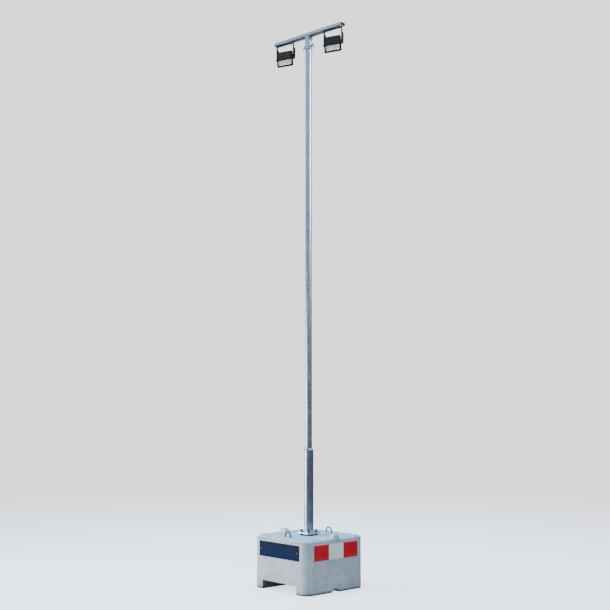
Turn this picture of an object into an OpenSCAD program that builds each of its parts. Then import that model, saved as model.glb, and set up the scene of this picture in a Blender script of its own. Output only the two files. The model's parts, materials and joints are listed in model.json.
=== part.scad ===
// Mobile floodlight mast on a precast concrete ballast block.
// Millimetres. Origin at the middle of the block's underside, Z up,
// X along the crossbar, front of the block and of the lamps towards -Y.

/* [Ballast block] */
// side length of the square block
block_w = 900; // [800:10:1000]
// height of the block from floor to top face
block_h = 590; // [500:10:700]
// radius of the four upright corners
corner_r = 100; // [60:5:110]
// bevel along the top edge
top_bevel = 20; // [10:1:30]
// bevel along the floor edge
foot_bevel = 8; // [4:1:12]
// width of the fork slot under the block
slot_w = 570; // [500:10:600]
// height of the fork slot
slot_h = 98; // [80:2:130]

/* [Stacking forms] */
// width of a stacking lug at its foot
lug_w = 100; // [80:2:110]
// width of a stacking lug at its top
lug_top_w = 50; // [40:2:70]
// height of a stacking lug above the top face
lug_h = 38; // [25:1:45]
// length of a stacking lug from the side face inwards
lug_len = 90; // [70:2:100]
// length of its flat top
lug_top_len = 56; // [40:2:65]
// play between a lug and the recess of the block stacked on it
stack_play = 6; // [4:0.5:8]
// radius of the arch around the recess
arch_r = 82; // [70:1:95]
// depth of the arch around the recess
arch_d = 4; // [2:0.5:6]

/* [Lifting loops] */
// diameter of the bent bar
loop_bar_d = 16; // [12:1:20]
// distance between the two legs of a loop
loop_span = 88; // [76:2:110]
// height of a loop above the top face
loop_rise = 68; // [66:1:95]
// distance of each loop from the front or rear face
loop_in = 132; // [110:2:160]
// depth of the legs cast into the block
loop_sink = 140; // [100:10:180]

/* [Plates on the block] */
// length of the two boards
board_w = 670; // [600:10:690]
// height of the two boards
board_h = 170; // [150:5:200]
// thickness of the two boards
board_t = 3; // [2:0.5:4]
// distance of the boards below the top face
board_drop = 52; // [40:2:80]
// diameter of the screw holes in the boards
board_hole_d = 7; // [5:0.5:8]
// distance of the screw holes from the board ends
board_hole_in = 32; // [20:1:50]
// diameter of the screw heads
screw_head_d = 17; // [13:1:20]
// height of the screw heads
screw_head_h = 4; // [3:0.5:6]

/* [Base plate and anchors] */
// side length of the base plate
plate_w = 200; // [190:5:240]
// thickness of the base plate
plate_t = 15; // [12:1:20]
// corner radius of the base plate
plate_r = 25; // [15:1:30]
// gap between the block and the base plate
plate_gap = 20; // [18:1:30]
// distance between neighbouring anchor studs
stud_pitch = 120; // [118:1:140]
// diameter of the anchor studs
stud_d = 20; // [16:1:22]
// length of the studs above the base plate
stud_rise = 28; // [24:1:50]
// depth of the studs cast into the block
stud_sink = 180; // [120:10:200]
// width across the flats of the nuts
nut_af = 30; // [28:1:34]
// height of the nuts
nut_h = 16; // [12:1:18]

/* [Mast] */
// outside diameter of the base tube
base_tube_d = 108; // [101:1:116]
// wall of the base tube
base_tube_wall = 4; // [3:0.5:6]
// length of the base tube
base_tube_h = 930; // [800:5:1100]
// width of the weld around the foot of the base tube
weld_w = 8; // [5:1:10]
// height of the cone shoulder on the base tube
shoulder_h = 24; // [16:1:40]
// outside diameter of the mast tube
mast_d = 76; // [70:0.5:82]
// wall of the mast tube
mast_wall = 3.5; // [3:0.5:5]
// height of the crossbar underside above the floor
bar_z = 6400; // [5500:10:7000]

/* [Head] */
// length of the crossbar
bar_len = 1150; // [1100:10:1250]
// width of the crossbar section from front to back
bar_w = 80; // [70:5:100]
// height of the crossbar section
bar_h = 42; // [36:1:60]
// wall of the crossbar section
bar_wall = 4; // [2.5:0.5:5]
// outside corner radius of the crossbar section
bar_r = 7; // [6.5:0.5:10]
// wall of the head sleeve
sleeve_wall = 4.5; // [4:0.5:6]
// length of the head sleeve
sleeve_len = 150; // [130:5:200]
// thickness of the rim ring at the sleeve end
rim_t = 4; // [3:0.5:6]
// height of the rim ring
rim_h = 14; // [10:1:20]
// length of the gussets along the bar and the sleeve
gusset_leg = 58; // [45:1:70]
// thickness of the gussets
gusset_t = 8; // [6:1:12]
// diameter of the clamp screws
clamp_d = 12; // [10:1:14]
// length of the clamp screws outside the sleeve
clamp_out = 46; // [40:1:60]
// length of the cross handle of a clamp screw
handle_len = 62; // [50:1:80]
// height of the clamp screws above the sleeve end
clamp_z = 30; // [28:1:45]

/* [Floodlights] */
// distance of each floodlight from the mast
lamp_x = 415; // [390:5:430]
// width of the lamp frame
lamp_w = 220; // [200:5:250]
// height of the lamp frame
lamp_h = 182; // [170:2:200]
// depth of the front frame
frame_d = 12; // [10:1:16]
// depth of the housing behind the frame
case_d = 16; // [14:1:24]
// depth of the cooling fins
fin_d = 18; // [12:1:24]
// thickness of one fin
fin_t = 3; // [2.5:0.5:4]
// number of cooling fins
fin_n = 11; // [9:1:13]
// width of the frame beside the window
frame_side = 18; // [14:1:22]
// height of the frame below the window
frame_foot = 21; // [16:1:26]
// height of the window
window_h = 60; // [52:1:66]
// free height between the crossbar and the lamp
lamp_drop = 90; // [70:1:110]
// turn of the lamps on their yoke bolts towards the right end of the crossbar
lamp_turn = 16; // [0:1:40]
// tilt of the lamp faces towards the ground
lamp_tilt = 8; // [0:1:20]
// width of the yoke strip
yoke_w = 30; // [25:1:36]
// width of the yoke arms beside the lamp
yoke_foot_w = 54; // [46:1:60]
// height of the narrow part of the yoke arms
yoke_neck = 50; // [30:1:60]
// thickness of the yoke strip
yoke_t = 4; // [3:0.5:5]
// outside radius of the bends of the yoke strip
yoke_bend_r = 14; // [8:1:20]
// diameter of the pivot bolts
pivot_d = 10; // [8:1:12]
// side length of the light chips
chip_w = 20; // [16:1:26]

/* [Hidden] */
$fn = 96;
// clearance of parts that sit still in each other
fit = 0.1;
// clearance of parts that turn against each other
turn = 0.3;
// running clearance of the sleeve on the mast tube
sleeve_play = 0.6;
// length by which a cut runs past the solid
over = 1;
block_half = block_w / 2;
loop_y = block_half - loop_in;
plate_z = block_h + plate_gap;
tube_z = plate_z + plate_t;
shoulder_z = tube_z + base_tube_h;
board_z = block_h - board_drop - board_h / 2;
screw_top_d = screw_head_d - 5;
stud_at = stud_pitch / 2;
shoulder_lip = 4;
sleeve_id = mast_d + 2 * sleeve_play;
sleeve_d = sleeve_id + 2 * sleeve_wall;
sleeve_z = bar_z - sleeve_len;
boss_r = 13;
boss_len = 14;
clamp_at = sleeve_z + clamp_z;
handle_d = 0.7 * clamp_d;
handle_turn = 25;
handle_in = 3;
gusset_tip = 8;
gusset_root = 3;
lamp_gap = 5.5;
yoke_in = lamp_w / 2 + lamp_gap;
yoke_out = yoke_in + yoke_t;
pivot_drop = lamp_drop + lamp_h / 2;
frame_y = -22;
case_y = frame_y + frame_d;
fin_y = case_y + case_d;
frame_r = 10;
frame_lip = 4;
case_r = 8;
case_w = lamp_w - 2 * frame_lip;
case_h = lamp_h - 2 * frame_lip;
fin_edge = 12;
fin_end = 6;
fin_slope = 10;
fin_root = 1;
fin_half = case_h / 2 - fin_end;
pivot_boss_d = 18;
pivot_boss_in = 30;
pivot_in = 22;
pivot_head_d = 24;
pivot_head_h = 10;
ear_r = 12;
window_w = lamp_w - 2 * frame_side;
window_lo = -lamp_h / 2 + frame_foot;
window_mid = window_lo + window_h / 2;
cavity_d = 10;
glass_t = 3;
glass_in = 4;
reflector_y = frame_y + glass_in + glass_t;
reflector_d = case_y + cavity_d - reflector_y;
bowl_rim = 1;
bowl_w = chip_w + 14;
chip_t = 1.5;
chip_y = reflector_y + reflector_d - 2 * chip_t;
chip_at = 0.34 * window_w;
frame_rib = 9;
panel_lo = window_lo + window_h + frame_rib;
panel_hi = lamp_h / 2 - frame_rib;
panel_t = 3;
bolt_d = 10;
bolt_af = 17;
bolt_head_h = 7;
bolt_end = 12;

// Square outline with rounded corners, made of true arcs.
module round_square(w, h, r) {
    square([w - 2 * r, h], center = true);
    square([w, h - 2 * r], center = true);
    for (x = [-1, 1])
        for (y = [-1, 1])
            translate([x * (w / 2 - r), y * (h / 2 - r)])
                circle(r);
}

// Side profile of the block with its bevelled top and floor edges.
module block_profile(half) {
    polygon([[-half + foot_bevel, 0], [half - foot_bevel, 0], [half, foot_bevel],
        [half, block_h - top_bevel], [half - top_bevel, block_h],
        [-half + top_bevel, block_h], [-half, block_h - top_bevel], [-half, foot_bevel]]);
}

// Body of the block with rounded corners and bevels.
module block_body() {
    flat = block_w - 2 * corner_r;
    for (a = [0, 90])
        rotate([90, 0, a])
            translate([0, 0, -flat / 2])
                linear_extrude(flat)
                    block_profile(block_half);
    for (x = [-1, 1])
        for (y = [-1, 1])
            translate([x * flat / 2, y * flat / 2, 0]) {
                cylinder(r1 = corner_r - foot_bevel, r2 = corner_r, h = foot_bevel);
                translate([0, 0, foot_bevel])
                    cylinder(r = corner_r, h = block_h - top_bevel - foot_bevel);
                translate([0, 0, block_h - top_bevel])
                    cylinder(r1 = corner_r, r2 = corner_r - top_bevel, h = top_bevel);
            }
}

// Tapered stacking form on the side towards +X, larger all round by the play.
module stacking_form(play) {
    reach = block_half + over;
    intersection() {
        rotate([90, 0, 90])
            linear_extrude(reach)
                polygon([[-lug_w / 2 - play, 0], [lug_w / 2 + play, 0],
                    [lug_top_w / 2 + play, lug_h + play], [-lug_top_w / 2 - play, lug_h + play]]);
        translate([0, block_half, 0])
            rotate([90, 0, 0])
                linear_extrude(block_w)
                    polygon([[block_half - lug_len - play, 0], [reach, 0], [reach, lug_h + play],
                        [block_half - lug_top_len - play, lug_h + play]]);
    }
}

// Stacking lug whose outer end lies flush with the side face.
module stacking_lug() {
    intersection() {
        translate([0, 0, block_h])
            stacking_form(0);
        translate([0, -block_half, 0])
            cube([block_half, block_w, 2 * block_h]);
    }
    translate([block_half - top_bevel - over, -lug_w / 2, block_h - top_bevel])
        cube([top_bevel + over, lug_w, top_bevel]);
}

// Recess that takes the lug of the block below, with the shallow arch around it.
module stacking_recess() {
    translate([0, 0, -0.01])
        stacking_form(stack_play);
    translate([block_half - arch_d, 0, 0])
        rotate([0, 90, 0])
            cylinder(r = arch_r, h = arch_d + over);
}

module ballast_block() {
    color("silver")
    difference() {
        union() {
            block_body();
            for (a = [0, 180])
                rotate([0, 0, a])
                    stacking_lug();
        }
        translate([-slot_w / 2, -block_half - over, -over])
            cube([slot_w, block_w + 2 * over, slot_h + over]);
        for (a = [0, 180])
            rotate([0, 0, a])
                stacking_recess();
        for (y = [-1, 1])
            for (x = [-1, 1])
                translate([x * loop_span / 2, y * loop_y, block_h - loop_sink])
                    cylinder(d = loop_bar_d + 2 * fit, h = loop_sink + over);
        for (x = [-1, 1])
            for (y = [-1, 1])
                translate([x * stud_at, y * stud_at, block_h - stud_sink])
                    cylinder(d = stud_d + 2 * fit, h = stud_sink + over);
    }
}

// Flat board with a screw hole at each end, standing on a face.
module board() {
    difference() {
        translate([-board_w / 2, 0, -board_h / 2])
            cube([board_w, board_t, board_h]);
        for (x = [-1, 1])
            translate([x * (board_w / 2 - board_hole_in), -over, 0])
                rotate([-90, 0, 0])
                    cylinder(d = board_hole_d, h = board_t + 2 * over);
    }
}

module front_sign() {
    color("navy")
    translate([0, -block_half - board_t, board_z])
        board();
}

// Round headed screw through a board hole, head outwards.
module board_screw(x) {
    color("slategray")
    translate([x * (board_w / 2 - board_hole_in), 0, 0])
        rotate([-90, 0, 0]) {
            cylinder(d = board_hole_d - 2 * fit, h = board_t);
            translate([0, 0, -screw_head_h])
                cylinder(d1 = screw_top_d, d2 = screw_head_d, h = screw_head_h);
        }
}

module sign_screw(x) {
    translate([0, -block_half - board_t, board_z])
        board_screw(x);
}

module warning_screw(x) {
    translate([block_half + board_t, 0, board_z])
        rotate([0, 0, 90])
            board_screw(x);
}

module warning_board() {
    color("red")
    translate([block_half + board_t, 0, board_z])
        rotate([0, 0, 90])
            board();
}

// Bent bar whose legs go down into the block.
module lifting_loop(y) {
    bend_z = block_h + loop_rise - loop_bar_d / 2 - loop_span / 2;
    color("dimgray")
    translate([0, y, 0]) {
        translate([0, 0, bend_z])
            rotate([90, 0, 0])
                rotate_extrude(angle = 180)
                    translate([loop_span / 2, 0])
                        circle(d = loop_bar_d);
        for (x = [-1, 1])
            translate([x * loop_span / 2, 0, block_h - loop_sink])
                cylinder(d = loop_bar_d, h = bend_z - block_h + loop_sink);
    }
}

module lifting_loop_front() {
    lifting_loop(-loop_y);
}

module lifting_loop_rear() {
    lifting_loop(loop_y);
}

module base_plate() {
    color("lightsteelblue")
    translate([0, 0, plate_z])
        linear_extrude(plate_t)
            difference() {
                round_square(plate_w, plate_w, plate_r);
                for (x = [-1, 1])
                    for (y = [-1, 1])
                        translate([x * stud_at, y * stud_at])
                            circle(d = stud_d + 2 * fit);
            }
}

module anchor_stud(x, y) {
    color("slategray")
    translate([x * stud_at, y * stud_at, block_h - stud_sink])
        cylinder(d = stud_d, h = stud_sink + plate_gap + plate_t + stud_rise);
}

// Hexagon nut on a stud with its lower face at height z.
module stud_nut(x, y, z) {
    color("slategray")
    translate([x * stud_at, y * stud_at, z])
        difference() {
            cylinder(d = nut_af / cos(30), h = nut_h, $fn = 6);
            translate([0, 0, -over])
                cylinder(d = stud_d + 2 * fit, h = nut_h + 2 * over);
        }
}

module base_tube() {
    color("lightsteelblue")
    translate([0, 0, tube_z])
        difference() {
            union() {
                cylinder(d = base_tube_d, h = base_tube_h);
                cylinder(d1 = base_tube_d + 2 * weld_w, d2 = base_tube_d, h = weld_w);
            }
            translate([0, 0, -over])
                cylinder(d = base_tube_d - 2 * base_tube_wall, h = base_tube_h + 2 * over);
        }
}

module shoulder_ring() {
    color("lightsteelblue")
    translate([0, 0, shoulder_z])
        difference() {
            cylinder(d1 = base_tube_d, d2 = mast_d + 2 * shoulder_lip, h = shoulder_h);
            translate([0, 0, -over])
                cylinder(d = mast_d + 2 * fit, h = shoulder_h + 2 * over);
        }
}

module mast_tube() {
    len = bar_z - turn - tube_z;
    color("lightsteelblue")
    translate([0, 0, tube_z])
        difference() {
            cylinder(d = mast_d, h = len);
            translate([0, 0, -over])
                cylinder(d = mast_d - 2 * mast_wall, h = len + 2 * over);
        }
}

module head_sleeve() {
    color("lightsteelblue")
    difference() {
        union() {
            translate([0, 0, sleeve_z])
                cylinder(d = sleeve_d, h = sleeve_len);
            translate([0, 0, sleeve_z])
                cylinder(d = sleeve_d + 2 * rim_t, h = rim_h);
            for (side = [-1, 1])
                translate([side * sleeve_id / 2, 0, clamp_at])
                    rotate([0, side * 90, 0])
                        cylinder(r = boss_r, h = sleeve_wall + boss_len);
        }
        translate([0, 0, sleeve_z - over])
            cylinder(d = sleeve_id, h = sleeve_len + 2 * over);
        translate([-sleeve_d, 0, clamp_at])
            rotate([0, 90, 0])
                cylinder(d = clamp_d + 2 * fit, h = 2 * sleeve_d);
    }
}

// Plate with a hollow edge between the sleeve and the crossbar.
module gusset(side) {
    reach = sleeve_d / 2 + gusset_leg;
    color("lightsteelblue")
    rotate([0, 0, side > 0 ? 0 : 180])
        difference() {
            translate([sleeve_d / 2 - gusset_root, -gusset_t / 2, bar_z - gusset_leg])
                cube([gusset_leg + gusset_root, gusset_t, gusset_leg]);
            translate([reach, gusset_t, bar_z - gusset_leg])
                rotate([90, 0, 0])
                    cylinder(r = gusset_leg - gusset_tip, h = 2 * gusset_t);
            translate([0, 0, sleeve_z])
                cylinder(d = sleeve_d + 2 * fit, h = sleeve_len + over);
        }
}

module gusset_left() {
    gusset(-1);
}

module gusset_right() {
    gusset(1);
}

module crossbar() {
    color("lightsteelblue")
    difference() {
        translate([-bar_len / 2, 0, bar_z + bar_h / 2])
            rotate([90, 0, 90])
                linear_extrude(bar_len)
                    difference() {
                        round_square(bar_w, bar_h, bar_r);
                        round_square(bar_w - 2 * bar_wall, bar_h - 2 * bar_wall, bar_r - bar_wall);
                    }
        for (side = [-1, 1])
            translate([side * lamp_x, 0, bar_z - over])
                cylinder(d = bolt_d + 2 * fit, h = bar_wall + 2 * over);
    }
}

// Clamp screw with a cross handle, its tip against the mast tube.
module clamp_screw(side) {
    tip = mast_d / 2 + turn;
    end = sleeve_d / 2 + clamp_out;
    color("slategray")
    rotate([0, 0, side > 0 ? 0 : 180]) {
        translate([tip, 0, clamp_at])
            rotate([0, 90, 0])
                cylinder(d = clamp_d, h = end - tip);
        translate([end - clamp_d / 2 - handle_in, 0, clamp_at])
            rotate([handle_turn, 0, 0])
                cylinder(d = handle_d, h = handle_len, center = true);
    }
}

module clamp_screw_left() {
    clamp_screw(-1);
}

module clamp_screw_right() {
    clamp_screw(1);
}

// Puts a part at its yoke bolt under the crossbar, turned as the lamp is.
module at_yoke(side) {
    translate([side * lamp_x, 0, bar_z])
        rotate([0, 0, lamp_turn])
            children();
}

// Outline that hangs down from zero, with round upper corners.
module hanging_outline(w, h, r) {
    translate([-w / 2, -h])
        square([w, h - r]);
    translate([-w / 2 + r, -h])
        square([w - 2 * r, h]);
    for (x = [-1, 1])
        translate([x * (w / 2 - r), -r])
            circle(r);
}

// Front outline of the yoke: a strip bent to a U.
module yoke_front() {
    reach = pivot_drop + yoke_w;
    difference() {
        hanging_outline(2 * yoke_out, reach, yoke_bend_r);
        translate([0, -yoke_t])
            hanging_outline(2 * yoke_in, reach, yoke_bend_r - yoke_t);
    }
}

// Side outline of the yoke: narrow neck, wide arm beside the lamp, round end at the pivot.
module yoke_side() {
    front = -yoke_w / 2;
    translate([front, -pivot_drop])
        square([yoke_w, pivot_drop]);
    translate([front + yoke_foot_w / 2, -(pivot_drop + yoke_neck) / 2])
        round_square(yoke_foot_w, pivot_drop - yoke_neck, ear_r);
    translate([0, -pivot_drop])
        circle(d = yoke_w);
}

// Yoke that hangs under the crossbar, bored for its bolt and for the pivots.
module yoke(side) {
    color("dimgray")
    at_yoke(side)
        difference() {
            intersection() {
                translate([0, yoke_foot_w, -turn])
                    rotate([90, 0, 0])
                        linear_extrude(2 * yoke_foot_w)
                            yoke_front();
                translate([-yoke_out - over, 0, 0])
                    rotate([90, 0, 90])
                        linear_extrude(2 * yoke_out + 2 * over)
                            yoke_side();
            }
            translate([0, 0, -yoke_t - over])
                cylinder(d = bolt_d + 2 * turn, h = yoke_t + 2 * over);
            translate([-yoke_out - over, 0, -pivot_drop])
                rotate([0, 90, 0])
                    cylinder(d = pivot_d + 2 * turn, h = 2 * yoke_out + 2 * over);
        }
}

// Hexagon bolt that holds the yoke under the crossbar.
module yoke_bolt(side) {
    seat = yoke_t + 2 * turn;
    color("slategray")
    at_yoke(side)
        translate([0, 0, -seat]) {
            translate([0, 0, -bolt_head_h])
                cylinder(d = bolt_af / cos(30), h = bolt_head_h, $fn = 6);
            cylinder(d = bolt_d, h = seat + bar_wall + bolt_end);
        }
}

// Puts a lamp part at its pivot with the rest tilt.
module at_lamp(side) {
    at_yoke(side)
        translate([0, 0, -pivot_drop])
            rotate([lamp_tilt, 0, 0])
                children();
}

// Plate standing upright in the lamp, extruded backwards from y.
module upright(y, d) {
    translate([0, y + d, 0])
        rotate([90, 0, 0])
            linear_extrude(d)
                children();
}

// Side outline of a cooling fin with sloping ends, rooted in the housing.
module fin_outline() {
    polygon([[fin_y - fin_root, -fin_half], [fin_y, -fin_half], [fin_y + fin_d, fin_slope - fin_half],
        [fin_y + fin_d, fin_half - fin_slope], [fin_y, fin_half], [fin_y - fin_root, fin_half]]);
}

// Finned housing with the recess for the reflector and the pivot bosses.
module housing(side) {
    pitch = (case_w - 2 * fin_edge) / (fin_n - 1);
    color("dimgray")
    at_lamp(side)
        difference() {
            union() {
                upright(case_y, case_d)
                    round_square(case_w, case_h, case_r);
                for (i = [0 : fin_n - 1])
                    translate([-case_w / 2 + fin_edge + i * pitch - fin_t / 2, 0, 0])
                        rotate([90, 0, 90])
                            linear_extrude(fin_t)
                                fin_outline();
                for (x = [-1, 1])
                    translate([x * (case_w / 2 - pivot_boss_in), 0, 0])
                        rotate([0, x * 90, 0])
                            cylinder(d = pivot_boss_d, h = yoke_in - turn - case_w / 2 + pivot_boss_in);
            }
            translate([-window_w / 2, case_y - over, window_lo])
                cube([window_w, cavity_d + over, window_h]);
            for (x = [-1, 1])
                translate([x * (case_w / 2 - pivot_in), 0, 0])
                    rotate([0, x * 90, 0])
                        cylinder(d = pivot_d, h = yoke_in);
        }
}

// Front frame with the window opening and the seat of the panel.
module frame(side) {
    color("dimgray")
    at_lamp(side)
        difference() {
            upright(frame_y, frame_d)
                round_square(lamp_w, lamp_h, frame_r);
            translate([-window_w / 2, frame_y - over, window_lo])
                cube([window_w, frame_d + 2 * over, window_h]);
            translate([-window_w / 2, frame_y - over, panel_lo])
                cube([window_w, panel_t + over, panel_hi - panel_lo]);
        }
}

module panel(side) {
    color("black")
    at_lamp(side)
        translate([-window_w / 2 + fit, frame_y, panel_lo + fit])
            cube([window_w - 2 * fit, panel_t, panel_hi - panel_lo - 2 * fit]);
}

// Reflector with a sloping bowl around each light chip.
module reflector(side) {
    w = window_w - 2 * fit;
    h = window_h - 2 * fit;
    slice = chip_t / 3;
    color("white")
    at_lamp(side)
        translate([0, reflector_y, window_mid])
            difference() {
                translate([-w / 2, 0, -h / 2])
                    cube([w, reflector_d, h]);
                for (x = [-1, 1])
                    hull() {
                        translate([x * w / 4 - w / 4 + bowl_rim, -slice, bowl_rim - h / 2])
                            cube([w / 2 - 2 * bowl_rim, slice, h - 2 * bowl_rim]);
                        translate([x * chip_at - bowl_w / 2, reflector_d - chip_t - slice, -bowl_w / 2])
                            cube([bowl_w, slice, bowl_w]);
                    }
            }
}

// Two light chips on the floors of the reflector bowls.
module chips(side) {
    color("yellow")
    at_lamp(side)
        for (x = [-1, 1])
            translate([x * chip_at - chip_w / 2, chip_y, window_mid - chip_w / 2])
                cube([chip_w, chip_t, chip_w]);
}

module glass(side) {
    color("lightcyan")
    at_lamp(side)
        translate([-window_w / 2 + fit, frame_y + glass_in, window_lo + fit])
            cube([window_w - 2 * fit, glass_t, window_h - 2 * fit]);
}

// Pivot bolt with a round head outside the yoke arm.
module pivot(side, x) {
    color("slategray")
    at_lamp(side) {
        translate([x * (case_w / 2 - pivot_in), 0, 0])
            rotate([0, x * 90, 0])
                cylinder(d = pivot_d, h = yoke_out + turn - case_w / 2 + pivot_in);
        translate([x * (yoke_out + turn), 0, 0])
            rotate([0, x * 90, 0])
                cylinder(d = pivot_head_d, h = pivot_head_h);
    }
}

ballast_block();
front_sign();
warning_board();
sign_screw(-1);  // sign_screw_left
sign_screw(1);  // sign_screw_right
warning_screw(-1);  // warning_screw_front
warning_screw(1);  // warning_screw_rear
lifting_loop_front();
lifting_loop_rear();
base_plate();
anchor_stud(-1, -1);  // anchor_stud_1
anchor_stud(1, -1);  // anchor_stud_2
anchor_stud(1, 1);  // anchor_stud_3
anchor_stud(-1, 1);  // anchor_stud_4
stud_nut(-1, -1, plate_z - nut_h);  // levelling_nut_1
stud_nut(1, -1, plate_z - nut_h);  // levelling_nut_2
stud_nut(1, 1, plate_z - nut_h);  // levelling_nut_3
stud_nut(-1, 1, plate_z - nut_h);  // levelling_nut_4
stud_nut(-1, -1, tube_z);  // plate_nut_1
stud_nut(1, -1, tube_z);  // plate_nut_2
stud_nut(1, 1, tube_z);  // plate_nut_3
stud_nut(-1, 1, tube_z);  // plate_nut_4
base_tube();
shoulder_ring();
mast_tube();
head_sleeve();
gusset_left();
gusset_right();
crossbar();
clamp_screw_left();
clamp_screw_right();
yoke(-1);  // left_yoke
yoke_bolt(-1);  // left_yoke_bolt
housing(-1);  // left_housing
frame(-1);  // left_frame
panel(-1);  // left_panel
reflector(-1);  // left_reflector
chips(-1);  // left_chips
glass(-1);  // left_glass
pivot(-1, -1);  // left_pivot_outer
pivot(-1, 1);  // left_pivot_inner
yoke(1);  // right_yoke
yoke_bolt(1);  // right_yoke_bolt
housing(1);  // right_housing
frame(1);  // right_frame
panel(1);  // right_panel
reflector(1);  // right_reflector
chips(1);  // right_chips
glass(1);  // right_glass
pivot(1, 1);  // right_pivot_outer
pivot(1, -1);  // right_pivot_inner
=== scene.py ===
# Mobile floodlight mast on a concrete ballast block: finishes, small fittings, light and camera.
import json
from math import cos, pi, radians, sin, tan

import bmesh
import bpy
from mathutils import Matrix, Vector


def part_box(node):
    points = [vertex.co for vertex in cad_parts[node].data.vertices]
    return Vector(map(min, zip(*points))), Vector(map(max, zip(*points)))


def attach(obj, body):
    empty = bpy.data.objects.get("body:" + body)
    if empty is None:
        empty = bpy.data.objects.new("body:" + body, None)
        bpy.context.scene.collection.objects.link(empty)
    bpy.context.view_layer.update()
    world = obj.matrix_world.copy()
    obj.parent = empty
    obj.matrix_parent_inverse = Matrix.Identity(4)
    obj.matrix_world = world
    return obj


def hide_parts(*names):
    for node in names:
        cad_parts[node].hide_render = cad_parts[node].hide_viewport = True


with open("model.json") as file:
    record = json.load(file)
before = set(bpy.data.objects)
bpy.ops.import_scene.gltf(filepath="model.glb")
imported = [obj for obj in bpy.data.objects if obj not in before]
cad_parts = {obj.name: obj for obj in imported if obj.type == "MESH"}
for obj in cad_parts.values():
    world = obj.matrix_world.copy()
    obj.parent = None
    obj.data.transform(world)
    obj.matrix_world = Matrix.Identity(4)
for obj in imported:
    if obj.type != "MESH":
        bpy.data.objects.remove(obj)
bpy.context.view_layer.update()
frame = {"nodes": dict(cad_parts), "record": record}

RECORD = frame["record"]
SLOT_OF = {part["node"]: part["material_slot"] for part in RECORD["subparts"]}
BODY_OF = {node: body for body, nodes in RECORD["behaviour"]["bodies"].items() for node in nodes}
UP = Vector((0, 0, 1))
FRONT = Vector((0, -1, 0))
RIGHT = Vector((1, 0, 0))


def half_width(node):
    """Half of a node's width from left to right."""
    low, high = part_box(node)
    return (high[0] - low[0]) / 2


# Shader nodes

class Signal:
    """An output of a shader node. Sums, differences and products of signals add Math nodes."""

    def __init__(self, nodes, socket):
        self.nodes = nodes
        self.socket = socket

    def math(self, operation, first, second):
        return self.nodes.node("ShaderNodeMath", {"operation": operation}, {0: first, 1: second})

    def __add__(self, other):
        return self.math("ADD", self, other)

    def __radd__(self, other):
        return self.math("ADD", other, self)

    def __sub__(self, other):
        return self.math("SUBTRACT", self, other)

    def __rsub__(self, other):
        return self.math("SUBTRACT", other, self)

    def __mul__(self, other):
        return self.math("MULTIPLY", self, other)

    def __rmul__(self, other):
        return self.math("MULTIPLY", other, self)

    def __abs__(self):
        return self.nodes.node("ShaderNodeMath", {"operation": "ABSOLUTE"}, {0: self})


class Nodes:
    """The nodes of one shader tree, from the place they read to the surface they show."""

    def __init__(self, owner, output, place):
        owner.use_nodes = True
        self.tree = owner.node_tree
        self.tree.nodes.clear()
        self.output = self.tree.nodes.new(output)
        self.place = self.node("ShaderNodeTexCoord", {}, {}, place)

    def put(self, socket, value):
        """Link a signal to a socket, or set a number, colour or vector on it."""
        if isinstance(value, Signal):
            self.tree.links.new(value.socket, socket)
        elif socket.type == "RGBA":
            socket.default_value = (*value, 1)
        else:
            socket.default_value = value

    def show(self, surface):
        self.put(self.output.inputs["Surface"], surface)

    def node(self, kind, settings, sockets, output=0):
        """Add a node: its settings first, then its sockets, and give one of its outputs."""
        made = self.tree.nodes.new(kind)
        for name, value in settings.items():
            setattr(made, name, value)
        for name, value in sockets.items():
            self.put(made.inputs[name], value)
        return Signal(self, made.outputs[output])

    def axis(self, name):
        return self.node("ShaderNodeSeparateXYZ", {}, {"Vector": self.place}, name)

    def ease(self, value, low, high, start, end):
        sockets = {"Value": value, "From Min": low, "From Max": high, "To Min": start, "To Max": end}
        return self.node("ShaderNodeMapRange", {"interpolation_type": "SMOOTHSTEP"}, sockets)

    def rise(self, value, low, high):
        """Ease from 0 to 1 while the value goes from low to high."""
        return self.ease(value, low, high, 0, 1)

    def fall(self, value, low, high):
        """Ease from 1 to 0 while the value goes from low to high."""
        return self.ease(value, low, high, 1, 0)

    def mix(self, factor, first, second):
        return self.node("ShaderNodeMix", {"data_type": "RGBA"}, {0: factor, 6: first, 7: second}, 2)


class Finish(Nodes):
    """One procedural material: a Principled shader and the nodes that feed it."""

    def __init__(self, name, **constants):
        self.material = bpy.data.materials.new(name)
        super().__init__(self.material, "ShaderNodeOutputMaterial", "Object")
        self.surface = self.node("ShaderNodeBsdfPrincipled", {}, {})
        self.show(self.surface)
        self.feed(**constants)

    def feed(self, **inputs):
        """Set inputs of the Principled shader; an underscore stands for a space."""
        for name, value in inputs.items():
            self.put(self.surface.socket.node.inputs[name.replace("_", " ")], value)

    def noise(self, scale, detail=3, roughness=0.5, stretch=None):
        """Noise on Object coordinates, which a stretch draws out along one axis."""
        place = self.place
        if stretch:
            place = self.node("ShaderNodeMapping", {}, {"Vector": place, "Scale": stretch})
        sockets = {"Vector": place, "Scale": scale, "Detail": detail, "Roughness": roughness}
        return self.node("ShaderNodeTexNoise", {}, sockets)

    def cells(self, scale, output="Distance", feature="F1", randomness=1):
        sockets = {"Vector": self.place, "Scale": scale, "Randomness": randomness}
        return self.node("ShaderNodeTexVoronoi", {"feature": feature}, sockets, output)

    def grey(self, colour):
        return self.node("ShaderNodeRGBToBW", {}, {"Color": colour})

    def layered(self, colour, *layers):
        """Lay tints over a colour, one after the other, each with a strength up to 1 and a mask."""
        for tint, strength, mask in layers:
            colour = self.mix(strength * mask, colour, tint)
        return colour

    def bump(self, height, depth, strength):
        """Turn a height signal into relief of the given depth in metres."""
        sockets = {"Height": height, "Distance": depth, "Strength": strength}
        self.feed(Normal=self.node("ShaderNodeBump", {}, sockets))


# Concrete block: colours, and the heights and widths of its dirt and of its painted shade in metres

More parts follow.
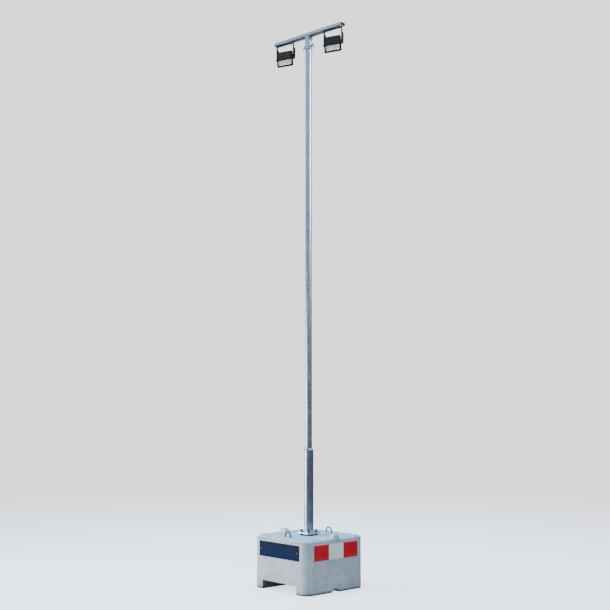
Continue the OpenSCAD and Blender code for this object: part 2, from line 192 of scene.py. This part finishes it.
CONCRETE_LIGHT = (0.61, 0.65, 0.64)
# bluish pale tint painted on the top, standing in for the sky light falling on it
PAINTED_SKY_LIGHT_PALE = (0.76, 0.85, 0.9)
CONCRETE_DARK = (0.48, 0.53, 0.53)
CONCRETE_STAIN = (0.37, 0.405, 0.4)
# dirt on the block, also used for the painted shade under the top rim and under the base plate
CONCRETE_DIRT_AND_SHADE = (0.15, 0.14, 0.125)
# near black: damp dirt along the foot, and painted shade in the fork slot
DAMP_DIRT_AND_SLOT_SHADE = (0.02, 0.019, 0.017)
FOOT_LINE = (0.016, 0.026)
FLOOR_DIRT = (0.02, 0.055)
RAIN_SPLASH = (0.06, 0.24)
TOP_LINE = 0.57
# widths of the painted shadow line under the top rim
RIM_SHADOW_WIDTH = (0.004, 0.01)
TOP_FADE = 0.015
SLOT_LIP = 0.003
# reach of the painted shade under the base plate inside and outside its edge, and how ragged its edge is
PLATE_SHADE_INSIDE = 0.02
PLATE_SHADE_OUTSIDE = 0.015
PLATE_SHADE_RAGGED = 0.02
PORE_RELIEF = 0.004


def in_fork_slot(finish):
    """Mask of the walls and the roof of the fork slot, where shade is painted."""
    slot = next(opening for opening in RECORD["physics"]["openings"] if opening["name"] == "fork_slot")
    side, _, top = slot["box_m"][1]
    beside = finish.fall(abs(finish.axis("X")), side, side + SLOT_LIP)
    below = finish.fall(finish.axis("Z"), top, top + SLOT_LIP)
    return beside * below


def under_plate(finish, mottle):
    """Mask of painted shade in the square under the base plate, with an edge that the mottle makes ragged.
    """
    inner = half_width("base_plate") - PLATE_SHADE_INSIDE
    outer = half_width("base_plate") + PLATE_SHADE_OUTSIDE
    ragged = PLATE_SHADE_RAGGED * mottle
    across = finish.fall(abs(finish.axis("X")) + ragged, inner, outer)
    along = finish.fall(abs(finish.axis("Y")) + ragged, inner, outer)
    return across * along


def concrete():
    """Cast concrete: mottled grey, pores, runs, a pale bluish top that is painted sky light, dirt at the
    foot, and painted shade under the top rim, in the fork slot and under the base plate.
    """
    finish = Finish("cast_concrete", Roughness=0.88)
    clouds = finish.noise(3.5, detail=6, roughness=0.62)
    mottle = finish.noise(17, detail=8, roughness=0.68)
    grain = finish.noise(140, detail=4, roughness=0.6)
    runs = finish.noise(9, detail=4, roughness=0.55, stretch=(1, 1, 0.12))
    pore_size = 0.16 * finish.noise(11, detail=2) + 0.04
    porous = finish.rise(finish.noise(7, detail=2), 0.5, 0.62)
    pores = porous * finish.fall(finish.cells(46), 0.05, pore_size)
    height = finish.axis("Z")
    foot_line = finish.fall(height + 0.01 * mottle, *FOOT_LINE)
    floor_dirt = finish.fall(height + 0.03 * finish.noise(24, detail=4), *FLOOR_DIRT)
    splash = finish.fall(height + 0.16 * finish.noise(6, detail=4), *RAIN_SPLASH)
    # painted shadow: a thin dark line just under the rounded top rim
    painted_rim_shadow = finish.fall(abs(height - TOP_LINE), *RIM_SHADOW_WIDTH) * finish.rise(mottle, 0.3, 0.6)
    on_top = finish.rise(height, TOP_LINE, TOP_LINE + TOP_FADE)
    patches = finish.rise(finish.noise(15, detail=6, roughness=0.7), 0.46, 0.6)
    colour = finish.mix(finish.rise(clouds, 0.36, 0.66), CONCRETE_DARK, CONCRETE_LIGHT)
    colour = finish.layered(
        colour,
        (CONCRETE_STAIN, 0.6, finish.rise(mottle, 0.46, 0.66)),
        (CONCRETE_DARK, 0.45, finish.rise(runs, 0.56, 0.74)),
        (CONCRETE_DARK, 0.3, finish.rise(grain, 0.42, 0.7)),
        (CONCRETE_DIRT_AND_SHADE, 0.3, splash),
        (CONCRETE_DIRT_AND_SHADE, 0.75, floor_dirt),
        (DAMP_DIRT_AND_SLOT_SHADE, 0.75, foot_line),
        (CONCRETE_DIRT_AND_SHADE, 0.45, painted_rim_shadow),
        (CONCRETE_DIRT_AND_SHADE, 0.55, pores),
        # painted shade: the walls and roof of the fork slot are painted near black
        (DAMP_DIRT_AND_SLOT_SHADE, 0.98, in_fork_slot(finish)),
        # painted light: bluish pale patches on the top stand in for the sky light falling on it
        (PAINTED_SKY_LIGHT_PALE, 0.7, patches * on_top),
        # painted shade: the concrete under the base plate is painted dark
        (CONCRETE_DIRT_AND_SHADE, 0.9, under_plate(finish, mottle) * on_top),
    )
    finish.feed(Base_Color=colour)
    relief = 0.12 * grain + 0.1 * clouds + 0.1 * mottle - 0.8 * pores
    finish.bump(relief, PORE_RELIEF, strength=0.7)
    return finish


# Boards: colours, and the places of their fading, fields and dust in metres

NAVY = (0.0005, 0.0105, 0.055)
NAVY_FADED = (0.0075, 0.014, 0.034)
NAVY_FADE_START = 0.03
NAVY_FADE_END = 0.05
ROAD_DUST = (0.36, 0.36, 0.34)
BOARD_RED = (0.69, 0.009, 0.018)
BOARD_RED_FADED = (0.72, 0.034, 0.038)
BOARD_GREY = (0.94, 0.89, 0.81)
BOARD_WHITE = (0.98, 0.93, 0.86)
BOARD_FIELDS = 3
BOARD_FIELD_EDGE = 0.0008
BOARD_BRIGHT_LINE = 0.012
BOARD_LINE_EDGE = 0.001
BOARD_DUST_LOW = 0.02
BOARD_DUST_HIGH = 0.08


def navy_board():
    """Navy enamel sheet that fades towards its top, with fine scratches and a little dust."""
    finish = Finish("navy_enamel", Specular_IOR_Level=0.05)
    low, high = (corner[2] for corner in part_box("front_sign"))
    patches = finish.noise(5, detail=4, roughness=0.6)
    faded = finish.rise(finish.axis("Z") + 0.08 * patches, low + NAVY_FADE_START, high + NAVY_FADE_END)
    scratch = finish.rise(finish.noise(160, detail=2, stretch=(0.05, 1, 1)), 0.68, 0.76)
    dust = finish.rise(finish.noise(30, detail=4), 0.55, 0.8)
    colour = finish.mix(faded, NAVY, NAVY_FADED)
    colour = finish.mix(0.06 * scratch + 0.04 * dust, colour, ROAD_DUST)
    finish.feed(Base_Color=colour, Roughness=0.5 + 0.1 * faded + 0.15 * dust)
    finish.bump(scratch, depth=0.0002, strength=0.4)
    return finish


def red_white_board():
    """Reflective sheet in three fields, red, white and red, with a bright line beside the white one."""
    finish = Finish("reflective_stripes")
    low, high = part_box("warning_board")
    half_field = (high[1] - low[1]) / BOARD_FIELDS / 2
    away = abs(finish.axis("Y") - (low[1] + high[1]) / 2)
    red_part = finish.rise(away, half_field - BOARD_FIELD_EDGE, half_field + BOARD_FIELD_EDGE)
    line_start = half_field - BOARD_BRIGHT_LINE
    line = finish.rise(away, line_start, line_start + BOARD_LINE_EDGE)
    beads = finish.cells(420)
    honeycomb = finish.rise(finish.cells(75, feature="DISTANCE_TO_EDGE", randomness=0.25), 0.02, 0.06)
    faded = finish.rise(finish.noise(6, detail=4, roughness=0.6), 0.42, 0.7)
    ragged = finish.axis("Z") + 0.06 * finish.noise(26, detail=4)
    dust = finish.fall(ragged, low[2] + BOARD_DUST_LOW, low[2] + BOARD_DUST_HIGH)
    red = finish.mix(0.6 * faded, BOARD_RED, BOARD_RED_FADED)
    white = finish.mix(line, finish.mix(0.3 * honeycomb, BOARD_WHITE, BOARD_GREY), BOARD_WHITE)
    colour = finish.mix(red_part, white, red)
    colour = finish.mix(0.05 * dust, colour, ROAD_DUST)
    finish.feed(Base_Color=colour, Roughness=0.36 + 0.2 * dust)
    finish.bump(0.3 * beads + honeycomb, depth=0.00012, strength=0.4)
    return finish


# Steel: colours, and heights and depths in metres

BAR_GREY = (0.035, 0.037, 0.04)
BAR_PALE = (0.08, 0.083, 0.087)
RUST = (0.17, 0.075, 0.03)
LOOP_WORN = (0.62, 0.69)
ZINC_LIGHT = (0.7, 0.75, 0.8)
ZINC_DARK = (0.46, 0.52, 0.58)
ZINC_WHITE = (0.72, 0.75, 0.77)
# darker zinc painted on the lower mast, standing in for the dark ground and horizon it reflects
ZINC_PAINTED_DARK_REFLECTION = (0.25, 0.285, 0.32)
CUT_STEEL = (0.9, 0.9, 0.9)
CUT_DEPTH = 0.0005
DARK_REFLECTION_EDGE = 0.03
DARK_REFLECTION_TOP = 3.8
PLATED_DARK = (0.07, 0.074, 0.08)
PLATED_LIGHT = (0.2, 0.205, 0.21)


def bar_steel():
    """Mill steel bar, dull grey with worn bright spots and rust where water stands."""
    finish = Finish("mill_steel_bar")
    scale = finish.noise(60, detail=5, roughness=0.6)
    rust = finish.rise(finish.noise(26, detail=5, roughness=0.65), 0.52, 0.66)
    worn = finish.rise(finish.axis("Z") + 0.03 * scale, *LOOP_WORN)
    colour = finish.mix(finish.rise(scale, 0.4, 0.65), BAR_GREY, BAR_PALE)
    colour = finish.layered(colour, (BAR_PALE, 0.5, worn), (RUST, 0.5, rust))
    finish.feed(Base_Color=colour, Metallic=0.3 - 0.2 * rust, Roughness=0.5 + 0.3 * rust)
    finish.bump(scale, depth=0.0008, strength=0.5)
    return finish


def galvanised_steel():
    """Hot dip zinc: crystal flakes, runs, dull patches, a lower mast painted darker as a painted reflection
    of the dark ground and horizon, and pale cut bar ends.
    """
    finish = Finish("hot_dip_zinc")
    flakes = finish.grey(finish.cells(48, "Color"))
    fine = finish.grey(finish.cells(130, "Color"))
    runs = finish.noise(14, detail=4, roughness=0.55, stretch=(1, 1, 0.08))
    dull = finish.rise(finish.noise(5, detail=5, roughness=0.6), 0.48, 0.7)
    foot, shoulder = (corner[2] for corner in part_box("base_tube"))
    height = finish.axis("Z")
    # painted reflection: the zinc is darkened from the foot of the base tube up to the given height, for
    # the dark horizon the lower mast reflects
    painted_dark_reflection = finish.rise(height, foot, foot + DARK_REFLECTION_EDGE) * finish.fall(height, shoulder, DARK_REFLECTION_TOP)
    bar_end = half_width("crossbar")
    cut_end = finish.rise(abs(finish.axis("X")), bar_end - CUT_DEPTH, bar_end - CUT_DEPTH / 2)
    tone = 0.5 * flakes + 0.25 * fine + 0.35 * runs
    colour = finish.mix(finish.rise(tone, 0.25, 0.85), ZINC_DARK, ZINC_LIGHT)
    colour = finish.layered(colour, (ZINC_WHITE, 0.3, dull), (ZINC_PAINTED_DARK_REFLECTION, 0.65, painted_dark_reflection))
    colour = finish.mix(cut_end, colour, CUT_STEEL)
    roughness = 0.26 + 0.1 * flakes + 0.06 * fine + 0.14 * dull
    finish.feed(Base_Color=colour, Roughness=roughness, Metallic=0.97 - 0.1 * dull - 0.7 * cut_end)
    finish.bump(0.4 * flakes + runs, depth=0.0005, strength=0.25)
    return finish


def zinc_steel():
    """Plated fasteners, dulled, with brown dirt in places."""
    finish = Finish("plated_fastener")
    patch = finish.rise(finish.noise(70, detail=4, roughness=0.6), 0.4, 0.62)
    grime = finish.rise(finish.noise(38, detail=5, roughness=0.6), 0.56, 0.7)
    colour = finish.mix(patch, PLATED_DARK, PLATED_LIGHT)
    colour = finish.mix(0.5 * grime, colour, RUST)
    finish.feed(Base_Color=colour, Roughness=0.34 + 0.25 * grime, Metallic=0.92 - 0.5 * grime)
    finish.bump(patch, depth=0.0003, strength=0.3)
    return finish


# Floodlights: colours

STRIP_BLACK = (0.006, 0.006, 0.006)
STRIP_DUSTY = (0.022, 0.022, 0.022)
CASTING_BLACK = (0.009, 0.008, 0.007)
CASTING_DUSTY = (0.026, 0.024, 0.022)
PANEL_CHARCOAL = (0.022, 0.02, 0.018)
PANEL_DUSTY = (0.034, 0.031, 0.028)
REFLECTOR_BRIGHT = (0.97, 0.96, 0.94)
REFLECTOR_DULL = (0.88, 0.87, 0.86)
CHIP_YELLOW = (1, 0.68, 0)
CHIP_AMBER = (0.86, 0.54, 0)
GLASS_CLEAR = (0.8, 0.84, 0.85)
GLASS_DUSTY = (0.6, 0.6, 0.58)


def coated(name, colour, dusty, roughness, grain, depth):
    """Powder coat or moulded plastic: fine relief and a little grey dust."""
    finish = Finish(name, Specular_IOR_Level=0.18)
    relief = finish.noise(grain)
    dust = finish.rise(finish.noise(18, detail=5, roughness=0.6), 0.5, 0.75)
    colour = finish.mix(0.5 * dust + 0.25 * relief, colour, dusty)
    finish.feed(Base_Color=colour, Roughness=roughness + 0.15 * dust)
    finish.bump(relief, depth, strength=0.5)
    return finish


def black_strip():
    return coated("black_coated_strip", STRIP_BLACK, STRIP_DUSTY, roughness=0.55, grain=600, depth=0.0003)


def lamp_casting():
    return coated("black_casting", CASTING_BLACK, CASTING_DUSTY, roughness=0.5, grain=420, depth=0.0005)


def lamp_panel():
    return coated("charcoal_panel", PANEL_CHARCOAL, PANEL_DUSTY, roughness=0.45, grain=900, depth=0.0002)


def reflector_metal():
    """Bright satin reflector sheet with a fine stipple."""
    finish = Finish("stippled_reflector", Metallic=0.3)
    stipple = finish.cells(260)
    colour = finish.mix(stipple, REFLECTOR_BRIGHT, REFLECTOR_DULL)
    finish.feed(Base_Color=colour, Roughness=0.35 + 0.12 * stipple)
    finish.bump(stipple, depth=0.0003, strength=0.3)
    return finish


def light_chip():
    """Yellow light chip: rows of small dies under a soft yellow cover."""
    finish = Finish("yellow_chip", Coat_Weight=0.1)
    dies = finish.cells(330, randomness=0.1)
    colour = finish.mix(finish.rise(dies, 0.2, 0.5), CHIP_YELLOW, CHIP_AMBER)
    finish.feed(Base_Color=colour, Roughness=0.3 + 0.2 * dies)
    finish.bump(dies, depth=0.0003, strength=0.3)
    return finish


def lamp_glass():
    """Clear cover glass with a little dust."""
    finish = Finish("cover_glass", IOR=1.45)
    dust = finish.rise(finish.noise(40, detail=4, roughness=0.6), 0.5, 0.8)
    colour = finish.mix(dust, GLASS_CLEAR, GLASS_DUSTY)
    finish.feed(Base_Color=colour, Roughness=0.03 + 0.1 * dust, Alpha=0.04 + 0.08 * dust)
    return finish


# Each finish is named for the material slot that it dresses
FINISH_MAKERS = (concrete, navy_board, red_white_board, bar_steel, galvanised_steel, zinc_steel,
                 black_strip, lamp_casting, lamp_panel, reflector_metal, light_chip, lamp_glass)
FINISHES = {maker.__name__: maker() for maker in FINISH_MAKERS}


def dress_frame():
    """Give every CAD node the finish of its slot."""
    for node, obj in frame["nodes"].items():
        obj.data.materials.clear()
        obj.data.materials.append(FINISHES[SLOT_OF[node]].material)


# Pieces: merge distance in metres, angles of sharp edges and of flat joins, and steps of a round

MERGE = 1e-5
SHARP = radians(32)
FLAT = radians(0.4)
ROUND_STEPS = 48


def add_mesh(name, form):
    """Turn a bmesh into a mesh."""
    mesh = bpy.data.meshes.new(name)
    form.to_mesh(mesh)
    form.free()
    return mesh


def add_object(name, data):
    """Put a new object into the scene."""
    made = bpy.data.objects.new(name, data)
    bpy.context.scene.collection.objects.link(made)
    return made


def make_piece(name, form, body, slot):
    """Turn a bmesh into a named piece with smooth rounds and flat faces that rides on a body."""
    bmesh.ops.remove_doubles(form, verts=form.verts, dist=MERGE)
    bmesh.ops.recalc_face_normals(form, faces=form.faces)
    mesh = add_mesh(name, form)
    mesh.shade_smooth()
    mesh.set_sharp_from_angle(angle=SHARP)
    mesh.materials.append(FINISHES[slot].material)
    piece = add_object(name, mesh)
    piece.modifiers.new("flat_faces", "WEIGHTED_NORMAL").keep_sharp = True
    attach(piece, body)
    return piece


def stand_for(node, form, ending):
    """Piece in place of one node, with the node's body and slot."""
    piece = make_piece(node + ending, form, BODY_OF[node], SLOT_OF[node])
    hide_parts(node)


def softened(node, width):
    """Copy of a CAD node with its sharp edges rounded, which stands for the node."""
    form = bmesh.new()
    form.from_mesh(frame["nodes"][node].data)
    bmesh.ops.remove_doubles(form, verts=form.verts, dist=MERGE)
    bmesh.ops.dissolve_limit(form, angle_limit=FLAT, verts=form.verts, edges=form.edges)
    edges = [edge for edge in form.edges if edge.is_manifold and edge.calc_face_angle() > SHARP]
    bmesh.ops.bevel(form, geom=edges, offset=width, affect="EDGES", segments=2, profile=0.5, material=-1,
                    clamp_overlap=True)
    stand_for(node, form, "_edges")


def turned(form, profile, centre, closed=True):
    """Spin a profile of (radius, height) points about an upright axis through centre."""
    points = [form.verts.new(centre + Vector((radius, 0, height))) for radius, height in profile]
    ends = points[1:] + points[:1] if closed else points[1:]
    edges = [form.edges.new(pair) for pair in zip(points, ends)]
    bmesh.ops.spin(form, geom=points + edges, cent=centre, axis=UP, angle=2 * pi, steps=ROUND_STEPS,
                   use_merge=True)


def cut(form, point, normal):
    """Cut away what lies beyond a plane and close the cut."""
    geometry = form.verts[:] + form.edges[:] + form.faces[:]
    result = bmesh.ops.bisect_plane(form, geom=geometry, plane_co=point, plane_no=normal, clear_outer=True)
    edges = [item for item in result["geom_cut"] if isinstance(item, bmesh.types.BMEdge)]
    bmesh.ops.edgeloop_fill(form, edges=edges)


def upright_axis(node):
    """Foot of the upright axis through a node, with the node's lowest and highest corners."""
    low, high = map(Vector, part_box(node))
    return Vector(((low.x + high.x) / 2, (low.y + high.y) / 2, low.z)), low, high


# Fasteners: sizes in metres, and shares of the CAD fastener's own sizes

STUD_NUMBERS = (1, 2, 3, 4)
THREAD_PITCH = 0.0025
THREAD_DEPTH = 0.0014
THREAD_LENGTH = 0.075
THREAD_STEPS = 32
SPARE_TURNS = 2
NUT_FLATS = 6
NUT_CROWN_SHARE = 0.93
NUT_CHAMFER_ANGLE = radians(30)
WASHER_RADIUS = 0.020
WASHER_HEIGHT = 0.003
WASHER_BEVEL = 0.0006
WASHER_BORE_SHARE = 0.8
SCREW_HEAD_SHARE = 4 / 7
SCREW_SHANK_SHARE = 0.4
SOCKET_RADIUS = 0.0032
SOCKET_DEPTH = 0.0022
DOME_STEPS = 5


def threaded_stud(node):
    """Anchor stud with a true screw thread on its upper end, cut flat at both ends."""
    foot, low, high = upright_axis(node)
    radius = half_width(node)
    start = high.z - low.z - THREAD_LENGTH
    turns = int(THREAD_LENGTH / THREAD_PITCH) + SPARE_TURNS
    profile = [(radius, -THREAD_PITCH), (radius, start)]
    for turn in range(turns):
        root = start + (turn + 0.5) * THREAD_PITCH
        profile += [(radius - THREAD_DEPTH, root), (radius, root + THREAD_PITCH / 2)]
    form = bmesh.new()
    points = [form.verts.new(foot + Vector((out, 0, height))) for out, height in profile]
    edges = [form.edges.new(pair) for pair in zip(points, points[1:])]
    climb = UP * (THREAD_PITCH / THREAD_STEPS)
    bmesh.ops.spin(form, geom=points + edges, cent=foot, axis=UP, dvec=climb, angle=2 * pi,
                   steps=THREAD_STEPS)
    bmesh.ops.remove_doubles(form, verts=form.verts, dist=MERGE)
    bmesh.ops.holes_fill(form, edges=form.edges, sides=4)
    cut(form, high, UP)
    cut(form, low, -UP)
    stand_for(node, form, "_made")


def hexagon_nut(node, bore):
    """Nut turned as a chamfered blank and cut with six flats."""
    foot, low, high = upright_axis(node)
    height = high.z - low.z
    flat = (high.y - low.y) / 2
    corner = flat / cos(pi / NUT_FLATS)
    crown = flat * NUT_CROWN_SHARE
    chamfer = (corner - crown) * tan(NUT_CHAMFER_ANGLE)
    profile = [(bore, 0), (crown, 0), (corner, chamfer)]
    profile += [(corner, height - chamfer), (crown, height), (bore, height)]
    form = bmesh.new()
    turned(form, profile, foot)
    bmesh.ops.remove_doubles(form, verts=form.verts, dist=MERGE)
    for side in range(NUT_FLATS):
        angle = (side + 0.5) * 2 * pi / NUT_FLATS
        normal = Vector((cos(angle), sin(angle), 0))
        cut(form, foot + flat * normal, normal)
    stand_for(node, form, "_made")


def plate_washers():
    """One washer around the foot of each nut on the base plate."""
    form = bmesh.new()
    for number in STUD_NUMBERS:
        foot, low, high = upright_axis(f"plate_nut_{number}")
        bore = (high.y - low.y) / 2 * WASHER_BORE_SHARE
        profile = [(bore, 0), (WASHER_RADIUS, 0), (WASHER_RADIUS, WASHER_HEIGHT - WASHER_BEVEL)]
        profile += [(WASHER_RADIUS - WASHER_BEVEL, WASHER_HEIGHT), (bore, WASHER_HEIGHT)]
        turned(form, profile, foot)
    make_piece("plate_washers", form, "base", "zinc_steel")


def board_screw(node, outwards):
    """Button head screw with a round socket, its head towards the outwards direction."""
    low, high = map(Vector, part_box(node))
    middle = (low + high) / 2
    depth = abs((high - low).dot(outwards))
    across = (high - low) - outwards * (high - low).dot(outwards)
    radius = max(across) / 2
    shank = radius * SCREW_SHANK_SHARE
    head = depth * SCREW_HEAD_SHARE
    seat = depth - head
    profile = [(0, 0), (shank, 0), (shank, seat), (radius, seat)]
    for step in range(1, DOME_STEPS + 1):
        angle = step / DOME_STEPS * pi / 2
        out = SOCKET_RADIUS + (radius - SOCKET_RADIUS) * cos(angle)
        profile.append((out, seat + head * sin(angle)))
    profile += [(SOCKET_RADIUS, depth - SOCKET_DEPTH), (0, depth - SOCKET_DEPTH)]
    form = bmesh.new()
    turned(form, profile, Vector(), closed=False)
    turn = UP.rotation_difference(outwards).to_matrix().to_4x4()
    place = Matrix.Translation(middle - outwards * depth / 2)
    bmesh.ops.transform(form, matrix=place @ turn, verts=form.verts)
    stand_for(node, form, "_made")


def fasteners():
    """Studs with threads, nuts with chamfers, washers, and screws with domed heads."""
    for number in STUD_NUMBERS:
        stud = f"anchor_stud_{number}"
        threaded_stud(stud)
        for nut in ("levelling_nut", "plate_nut"):
            hexagon_nut(f"{nut}_{number}", half_width(stud))
    plate_washers()
    for end in ("left", "right"):
        board_screw("sign_screw_" + end, FRONT)
    for end in ("front", "rear"):
        board_screw("warning_screw_" + end, RIGHT)


# Edges: the width of the rounding in metres
EDGE_WIDTHS = {"base_plate": 0.002, "gusset_left": 0.0015, "gusset_right": 0.0015, "ballast_block": 0.005}
LAMP_EDGE_WIDTHS = {"frame": 0.002, "housing": 0.0008, "panel": 0.0015, "yoke": 0.001,
                    "pivot_outer": 0.0015, "pivot_inner": 0.0015, "yoke_bolt": 0.0008, "chips": 0.0004}


def soft_edges():
    """Round the sharp edges of the plates, the block and the lamp parts."""
    for node, width in EDGE_WIDTHS.items():
        softened(node, width)
    for side in ("left", "right"):
        for part, width in LAMP_EDGE_WIDTHS.items():
            softened(f"{side}_{part}", width)


# Light: metres, colours, and for the surround the height of a direction, from -1 below to 1 above

FLOOR_SIZE = 40
FLOOR_FADE = (3, 12)
FLOOR_PAPER = (0.92, 0.91, 0.9)
FLOOR_GLOW = 1.7
PAPER = (0.97, 0.98, 1)
PAPER_GLOW = 1.8
SKY = (0.58, 0.88, 1.36)
HAZE = (0.08, 0.095, 0.11)
GROUND_SHADE = (0.04, 0.042, 0.045)
GROUND_PALE = (0.24, 0.225, 0.205)
NEAR_GROUND = (-0.3, -0.12)
HORIZON = (-0.04, 0.04)
LOW_SKY = (0.08, 0.22)
NARROW = radians(60)
WIDE = radians(180)
WHITE = (1, 1, 1)
KEY_WARM = (1, 0.98, 0.95)
FILL_WARM = (1, 0.96, 0.91)
HEAD_WARM = (1, 0.97, 0.94)
OVERHEAD_BLUE = (0.36, 0.84, 1.3)
OVERHEAD_PLACE = Vector((-2, -2, 12))


def towards(turn, away, height):
    """Point at an angle from the front face, seen from above, in degrees and metres."""
    return Vector((away * sin(radians(turn)), -away * cos(radians(turn)), height))


def paper_floor():
    """Pale floor that fades into the surround and neither shows in reflections nor lights the object."""
    form = bmesh.new()
    bmesh.ops.create_grid(form, x_segments=1, y_segments=1, size=FLOOR_SIZE / 2)
    floor = add_object("floor", add_mesh("floor", form))
    finish = Finish("floor_paper", Base_Color=FLOOR_PAPER, Roughness=0.9, Emission_Color=FLOOR_PAPER,
                    Emission_Strength=FLOOR_GLOW)
    away = finish.node("ShaderNodeVectorMath", {"operation": "LENGTH"}, {0: finish.place}, "Value")
    faded = finish.rise(away, *FLOOR_FADE)
    clear = finish.node("ShaderNodeBsdfTransparent", {}, {})
    finish.show(finish.node("ShaderNodeMixShader", {}, {0: faded, 1: finish.surface, 2: clear}))
    floor.data.materials.append(finish.material)
    floor.visible_glossy = False
    floor.visible_diffuse = False


def surround():
    """Sky, haze and ground for light and reflections; the camera sees plain pale paper."""
    world = bpy.data.worlds.new("surround")
    nodes = Nodes(world, "ShaderNodeOutputWorld", "Generated")
    height = nodes.axis("Z")
    colour = nodes.mix(nodes.rise(height, *NEAR_GROUND), GROUND_PALE, GROUND_SHADE)
    colour = nodes.mix(nodes.rise(height, *HORIZON), colour, HAZE)
    colour = nodes.mix(nodes.rise(height, *LOW_SKY), colour, SKY)
    lit = nodes.node("ShaderNodeBackground", {}, {"Color": colour})
    paper = nodes.node("ShaderNodeBackground", {}, {"Color": PAPER, "Strength": PAPER_GLOW})
    seen = nodes.node("ShaderNodeLightPath", {}, {}, "Is Camera Ray")
    nodes.show(nodes.node("ShaderNodeMixShader", {}, {0: seen, 1: lit, 2: paper}))
    bpy.context.scene.world = world


def soft_box(name, place, aim, size, watts, colour, spread=NARROW, gloss=True):
    """Rectangular soft box at a place, aimed at a height on the mast."""
    light = bpy.data.lights.new(name, "AREA")
    light.shape = "RECTANGLE"
    light.size, light.size_y = size
    light.energy = watts
    light.color = colour
    light.spread = spread
    box = add_object(name, light)
    box.location = place
    box.rotation_euler = (aim * UP - place).to_track_quat("-Z", "Y").to_euler()
    box.visible_glossy = gloss


def light_stage():
    """Pale floor, surround, and soft boxes for the block, its top and right side, the mast and the head."""
    paper_floor()
    surround()
    soft_box("key", towards(turn=-42, away=6, height=1.5), aim=0.8, size=(5, 2.8), watts=100,
             colour=KEY_WARM)
    soft_box("overhead", OVERHEAD_PLACE, aim=0, size=(9, 9), watts=940, colour=OVERHEAD_BLUE, spread=WIDE,
             gloss=False)
    soft_box("fill", towards(turn=62, away=9, height=2.5), aim=0.5, size=(5, 4), watts=24,
             colour=FILL_WARM, gloss=False)
    soft_box("rim", towards(turn=112, away=6, height=6.9), aim=5, size=(0.8, 3.4), watts=40, colour=WHITE)
    soft_box("head", towards(turn=-15, away=7, height=6.2), aim=6.2, size=(2.4, 1.4), watts=46,
             colour=HEAD_WARM, gloss=False)


# Camera of the photograph: degrees from the front face, metres, and the lens on a square sensor

CAMERA_TURN = 47.397
CAMERA_AWAY = 13.2196
CAMERA_HEIGHT = 2.3157
CAMERA_PITCH = 3.948
CAMERA_PAN = 0.186
LENS = 67.34
SENSOR = 36


def photo_camera():
    """Camera at the photograph's viewing angle."""
    data = bpy.data.cameras.new("photo_camera")
    data.lens = LENS
    data.sensor_width = SENSOR
    camera = add_object("photo_camera", data)
    camera.location = towards(CAMERA_TURN, CAMERA_AWAY, CAMERA_HEIGHT)
    camera.rotation_euler = (radians(90 + CAMERA_PITCH), 0, radians(CAMERA_TURN + CAMERA_PAN))
    bpy.context.scene.camera = camera


dress_frame()
fasteners()
soft_edges()
light_stage()
photo_camera()
